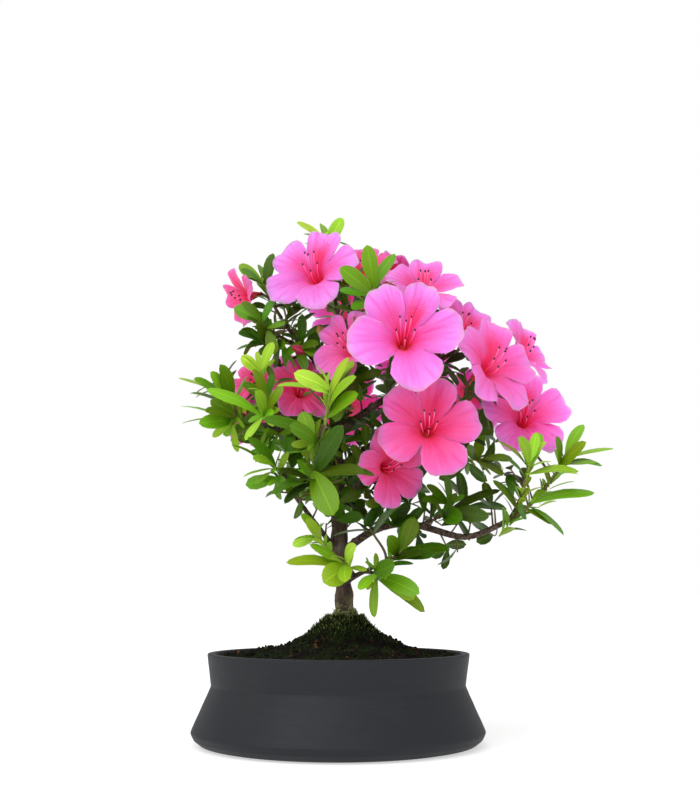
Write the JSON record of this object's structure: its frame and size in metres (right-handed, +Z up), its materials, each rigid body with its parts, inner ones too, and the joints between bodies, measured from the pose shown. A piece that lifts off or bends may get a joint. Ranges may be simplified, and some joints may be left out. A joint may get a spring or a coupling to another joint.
{
  "type": "azalea bonsai in pot",
  "caption": "Azalea bonsai in bloom: an upright tapering trunk, leafy sprays and five-lobed pink blooms, rooted in a mossy soil mound in a round flared stoneware pot.",
  "frame": {"origin": "centre of the pot's flat foot, on the surface it stands on", "axes": "+Z up the trunk, -Y towards the plant's front, +X to the right of one who faces that front"},
  "size_m": [0.251, 0.1759, 0.309],
  "materials": {
    "pot_stoneware": "matt dark blue-grey stoneware with fine turning lines",
    "mossy_soil": "near-black crumbly soil with moss and grit",
    "bark": "rough grey-brown bark",
    "leaf": "green leaves with a waxy half gloss",
    "petal": "soft hot pink petals, coral red in the throat",
    "bud": "crimson and orange-green unopened buds"
  },
  "bodies": {
    "root": {"pot": "pot_stoneware", "soil": "mossy_soil", "wood": "bark", "spray_crown": "leaf", "spray_crown_back": "leaf", "spray_front_top": "leaf", "spray_front_mid": "leaf", "spray_left_top": "leaf", "spray_left_mid": "leaf", "spray_inner_left": "leaf", "spray_left_front": "leaf", "spray_left_back": "leaf", "spray_far_left": "leaf", "spray_riser": "leaf", "spray_heart": "leaf", "spray_low_left": "leaf", "spray_bright_low": "leaf", "spray_low_right": "leaf", "spray_low_mid": "leaf", "spray_right_bright": "leaf", "spray_right_far": "leaf", "spray_right_low": "leaf", "spray_right_in": "leaf", "spray_right_up": "leaf", "spray_right_mid": "leaf", "spray_right_front": "leaf", "spray_front_right": "leaf", "spray_upper_right": "leaf", "spray_far_right": "leaf", "spray_back_low": "leaf", "spray_back_low_right": "leaf", "spray_back_right": "leaf", "spray_back_left": "leaf", "spray_back_side": "leaf", "spray_back_top": "leaf", "bloom_a": "petal", "bloom_b": "petal", "bloom_c": "petal", "bloom_d": "petal", "bloom_e": "petal", "bloom_f": "petal", "bloom_g": "petal", "bloom_h": "petal", "bloom_i": "petal", "bloom_j": "petal", "bloom_k": "petal", "bloom_l": "petal", "bloom_m": "petal", "bloom_n": "petal", "bloom_o": "petal", "bloom_p": "petal", "bloom_q": "petal", "bloom_r": "petal", "bloom_s": "petal", "bloom_t": "petal", "bloom_u": "petal", "bloom_v": "petal", "red_bud": "bud", "green_bud": "bud"}
  },
  "joints": []
}
